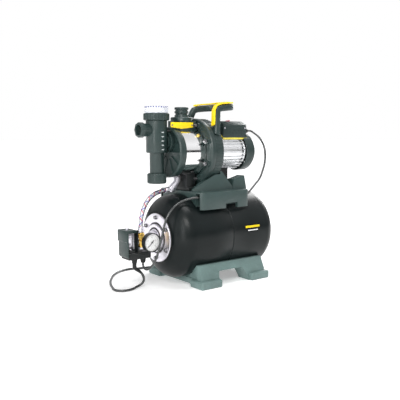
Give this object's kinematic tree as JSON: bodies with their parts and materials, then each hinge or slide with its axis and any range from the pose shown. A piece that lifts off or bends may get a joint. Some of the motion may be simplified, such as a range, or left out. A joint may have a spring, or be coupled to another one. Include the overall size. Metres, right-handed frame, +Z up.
{
  "type": "shallow well jet pump",
  "caption": "Self-priming jet pump with a prefilter and carrying handle, mounted on a horizontal pressure tank with a pressure switch, gauge and braided hose.",
  "frame": {"origin": "centre of the set's outline on the floor, without the free mains cord", "axes": "+Z up, +X from the suction inlet towards the motor's fan end along the pump and tank axis, +Y to the far side from the pressure gauge"},
  "size_m": [0.6059, 0.47, 0.6012],
  "materials": {
    "tank_black": "satin black enamel",
    "base_green": "moulded, light grey-green",
    "saddle_green": "moulded, grey-green",
    "pump_plastic": "moulded, dark grey-green",
    "black_plastic": "moulded, black",
    "polished_steel": "polished stainless steel",
    "bare_steel": "ground steel",
    "bare_aluminium": "as cast, lightly polished",
    "winding_core": "laminated core with windings",
    "zinc": "zinc plated",
    "brass": "machined",
    "yellow_plastic": "moulded, yellow",
    "red_plastic": "moulded, red",
    "clear_plastic": "clear, slightly blue",
    "white_plastic": "white",
    "rubber": "black",
    "hose_braid": "woven steel braid with tracer threads",
    "filter_mesh": "fine off-white mesh"
  },
  "bodies": {
    "frame": {"tank_shell_front": "tank_black", "tank_shell_rear": "tank_black", "tank_bladder": "rubber", "tank_flange": "zinc", "air_valve": "brass", "base_cradle": "base_green", "pump_saddle": "saddle_green", "pump_foot": "black_plastic", "pump_jacket": "polished_steel", "front_cover": "pump_plastic", "clamp_ring": "pump_plastic", "motor_bracket": "pump_plastic", "ejector": "black_plastic", "mechanical_seal": "rubber", "motor_housing": "bare_aluminium", "motor_stator": "winding_core", "front_bearing": "polished_steel", "rear_bearing": "polished_steel", "rear_shield": "bare_aluminium", "fan_cover": "pump_plastic", "terminal_gasket": "yellow_plastic", "terminal_box": "pump_plastic", "terminal_lid": "pump_plastic", "start_capacitor": "bare_aluminium", "terminal_gland": "black_plastic", "carry_handle": "pump_plastic", "handle_trim": "yellow_plastic", "filter_body": "pump_plastic", "filter_union_nut": "pump_plastic", "outlet_fitting": "pump_plastic", "name_plate": "yellow_plastic", "tee_manifold": "brass", "tank_union": "zinc", "gauge_case": "black_plastic", "gauge_dial": "white_plastic", "gauge_glass": "clear_plastic", "hose_elbow": "zinc", "braided_hose": "hose_braid", "switch_base": "black_plastic", "switch_diaphragm": "zinc", "switch_lever": "zinc", "mains_gland": "black_plastic", "motor_cable_gland": "black_plastic", "motor_cable": "rubber", "mains_cord": "rubber", "cord_coil": "rubber", "mains_plug": "rubber"},
    "rotor": {"pump_shaft": "bare_steel", "motor_rotor": "bare_aluminium", "impeller": "brass", "cooling_fan": "black_plastic"},
    "needle": {"gauge_needle": "black_plastic"},
    "rocker": {"power_rocker": "red_plastic"},
    "filter_top": {"filter_collar": "pump_plastic", "filter_lid": "clear_plastic", "filter_cartridge": "filter_mesh"},
    "drain": {"filter_drain_cap": "pump_plastic"},
    "poppet": {"check_poppet": "white_plastic"},
    "hood": {"switch_hood": "pump_plastic"},
    "valve_cap": {"air_valve_cap": "black_plastic"}
  },
  "joints": [
    {"name": "shaft_spin", "type": "hinge", "parent": "frame", "child": "rotor", "pos_m": [0.05225, 0, 0.4318], "axis": [1, 0, 0], "continuous": true},
    {"name": "needle_turn", "type": "hinge", "parent": "frame", "child": "needle", "pos_m": [-0.22325, -0.0658, 0.157], "axis": [0, 1, 0], "range_deg": [0, 270], "stiffness_Nm_per_rad": 0.0002},
    {"name": "rocker_tilt", "type": "hinge", "parent": "frame", "child": "rocker", "pos_m": [0.10825, -0.024, 0.532], "axis": [0, 1, 0], "range_deg": [0, 20]},
    {"name": "filter_top_lift", "type": "slide", "parent": "frame", "child": "filter_top", "axis": [0, 0, 1], "range_m": [0, 0.14]},
    {"name": "drain_cap_drop", "type": "slide", "parent": "frame", "child": "drain", "axis": [0, 0, -1], "range_m": [0, 0.012]},
    {"name": "check_valve_open", "type": "slide", "parent": "frame", "child": "poppet", "axis": [1, 0, 0], "range_m": [0, 0.006], "stiffness_N_per_m": 30},
    {"name": "switch_hood_off", "type": "slide", "parent": "frame", "child": "hood", "axis": [-1, 0, 0], "range_m": [0, 0.1]},
    {"name": "valve_cap_off", "type": "slide", "parent": "frame", "child": "valve_cap", "axis": [1, 0, 0], "range_m": [0, 0.025]}
  ]
}
